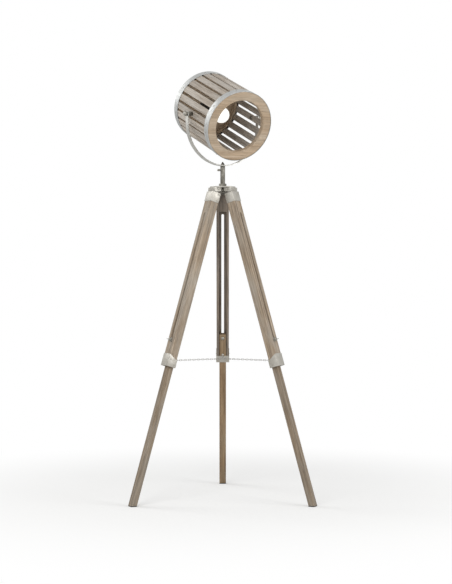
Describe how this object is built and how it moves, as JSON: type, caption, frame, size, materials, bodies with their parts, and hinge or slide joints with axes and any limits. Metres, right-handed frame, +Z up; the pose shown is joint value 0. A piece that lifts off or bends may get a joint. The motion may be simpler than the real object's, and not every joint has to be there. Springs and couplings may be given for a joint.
{
  "type": "floor lamp",
  "caption": "Tripod spotlight floor lamp with a slatted wooden drum shade in a tilting flat-bar yoke, on telescoping wooden legs held apart by chains.",
  "frame": {"origin": "on the floor, at the middle of the box round the whole lamp", "axes": "+Z up, the rear leg towards +Y, the shade facing -Y and a little +X"},
  "size_m": [0.6332, 0.5484, 1.4883],
  "materials": {
    "greyed_timber": "grey-washed, open grain",
    "shade_timber": "grey-washed, matt",
    "zinc_band": "satin",
    "satin_nickel": "satin nickel plate",
    "dark_nickel": "darkened nickel",
    "black_rubber": "matt",
    "frosted_glass": "frosted",
    "lamp_brass": "bright",
    "black_phenolic": "moulded"
  },
  "bodies": {
    "hub": {"hub": "satin_nickel", "hinge_bolts": "satin_nickel", "hinge_nuts": "satin_nickel", "pole_tube": "dark_nickel", "flange_nut": "dark_nickel", "lock_nut": "dark_nickel"},
    "yoke": {"yoke": "satin_nickel", "yoke_stem": "dark_nickel", "finial_nut": "dark_nickel"},
    "head": {"front_ring": "shade_timber", "rear_board": "shade_timber", "shade_slats": "shade_timber", "front_band": "zinc_band", "rear_band": "zinc_band", "band_screws": "zinc_band", "lamp_holder": "black_phenolic", "bulb_cap": "lamp_brass", "light_bulb": "frosted_glass", "cable_gland": "black_phenolic", "pivot_bolt_left": "satin_nickel", "pivot_bolt_right": "satin_nickel", "pivot_spacer_left": "satin_nickel", "pivot_spacer_right": "satin_nickel"},
    "thumbscrew": {"thumbscrew": "satin_nickel"},
    "pivot_knob_left": {"pivot_knob_left": "dark_nickel"},
    "pivot_knob_right": {"pivot_knob_right": "dark_nickel"},
    "leg_rear": {"leg_cap_rear": "satin_nickel", "cap_screws_rear": "satin_nickel", "upper_leg_rear": "greyed_timber", "collar_rear": "satin_nickel", "collar_screws_rear": "satin_nickel", "chain_eye_rear": "satin_nickel"},
    "foot_rear": {"lower_leg_rear": "greyed_timber", "slide_bolt_rear": "satin_nickel", "foot_pad_rear": "black_rubber"},
    "wing_rear": {"wing_nut_rear": "dark_nickel"},
    "chain_rear": {"chain_rear": "satin_nickel", "chain_ring": "satin_nickel"},
    "leg_left": {"leg_cap_left": "satin_nickel", "cap_screws_left": "satin_nickel", "upper_leg_left": "greyed_timber", "collar_left": "satin_nickel", "collar_screws_left": "satin_nickel", "chain_eye_left": "satin_nickel"},
    "foot_left": {"lower_leg_left": "greyed_timber", "slide_bolt_left": "satin_nickel", "foot_pad_left": "black_rubber"},
    "wing_left": {"wing_nut_left": "dark_nickel"},
    "chain_left": {"chain_left": "satin_nickel"},
    "leg_right": {"leg_cap_right": "satin_nickel", "cap_screws_right": "satin_nickel", "upper_leg_right": "greyed_timber", "collar_right": "satin_nickel", "collar_screws_right": "satin_nickel", "chain_eye_right": "satin_nickel"},
    "foot_right": {"lower_leg_right": "greyed_timber", "slide_bolt_right": "satin_nickel", "foot_pad_right": "black_rubber"},
    "wing_right": {"wing_nut_right": "dark_nickel"},
    "chain_right": {"chain_right": "satin_nickel"}
  },
  "joints": [
    {"name": "head_pan", "type": "hinge", "parent": "hub", "child": "yoke", "pos_m": [0, -0.08446, 1.1], "axis": [0, 0, 1], "range_deg": [-170, 170]},
    {"name": "head_tilt", "type": "hinge", "parent": "yoke", "child": "head", "pos_m": [0, -0.08446, 1.325], "axis": [0.8704, 0.4924, 0], "range_deg": [-59, 15]},
    {"name": "pivot_knob_left_turn", "type": "hinge", "parent": "head", "child": "pivot_knob_left", "pos_m": [0, -0.08446, 1.325], "axis": [-0.8704, -0.4924, 0], "continuous": true},
    {"name": "pivot_knob_right_turn", "type": "hinge", "parent": "head", "child": "pivot_knob_right", "pos_m": [0, -0.08446, 1.325], "axis": [0.8704, 0.4924, 0], "continuous": true},
    {"name": "thumbscrew_turn", "type": "hinge", "parent": "hub", "child": "thumbscrew", "pos_m": [0, -0.08446, 1.1373], "axis": [-1, 0, 0], "continuous": true},
    {"name": "leg_fold_rear", "type": "hinge", "parent": "hub", "child": "leg_rear", "pos_m": [0, -0.05346, 1.07], "axis": [1, 0, 0], "range_deg": [-15, 0]},
    {"name": "leg_slide_rear", "type": "slide", "parent": "leg_rear", "child": "foot_rear", "axis": [0, -0.289, 0.9573], "range_m": [0, 0.44]},
    {"name": "wing_nut_rear_turn", "type": "hinge", "parent": "foot_rear", "child": "wing_rear", "pos_m": [0, 0.10319, 0.55113], "axis": [0, 0.9573, 0.289], "continuous": true},
    {"name": "chain_swing_rear", "type": "hinge", "parent": "leg_rear", "child": "chain_rear", "pos_m": [0, 0.0967, 0.48441], "axis": [1, 0, 0], "range_deg": [0, 105]},
    {"name": "leg_fold_left", "type": "hinge", "parent": "hub", "child": "leg_left", "pos_m": [-0.02685, -0.09996, 1.07], "axis": [-0.5, 0.866, 0], "range_deg": [-15, 0]},
    {"name": "leg_slide_left", "type": "slide", "parent": "leg_left", "child": "foot_left", "axis": [0.2503, 0.1445, 0.9573], "range_m": [0, 0.44]},
    {"name": "wing_nut_left_turn", "type": "hinge", "parent": "foot_left", "child": "wing_left", "pos_m": [-0.16251, -0.17829, 0.55113], "axis": [-0.8291, -0.4787, 0.289], "continuous": true},
    {"name": "chain_swing_left", "type": "hinge", "parent": "leg_left", "child": "chain_left", "pos_m": [-0.15689, -0.17504, 0.48441], "axis": [-0.5, 0.866, 0], "range_deg": [0, 105]},
    {"name": "leg_fold_right", "type": "hinge", "parent": "hub", "child": "leg_right", "pos_m": [0.02685, -0.09996, 1.07], "axis": [-0.5, -0.866, 0], "range_deg": [-15, 0]},
    {"name": "leg_slide_right", "type": "slide", "parent": "leg_right", "child": "foot_right", "axis": [-0.2503, 0.1445, 0.9573], "range_m": [0, 0.44]},
    {"name": "wing_nut_right_turn", "type": "hinge", "parent": "foot_right", "child": "wing_right", "pos_m": [0.16251, -0.17829, 0.55113], "axis": [0.8291, -0.4787, 0.289], "continuous": true},
    {"name": "chain_swing_right", "type": "hinge", "parent": "leg_right", "child": "chain_right", "pos_m": [0.15689, -0.17504, 0.48441], "axis": [-0.5, -0.866, 0], "range_deg": [0, 105]}
  ],
  "couplings": [
    {"joint": "chain_swing_rear", "follows": "leg_fold_rear", "ratio": -7},
    {"joint": "chain_swing_left", "follows": "leg_fold_left", "ratio": -7},
    {"joint": "chain_swing_right", "follows": "leg_fold_right", "ratio": -7}
  ]
}
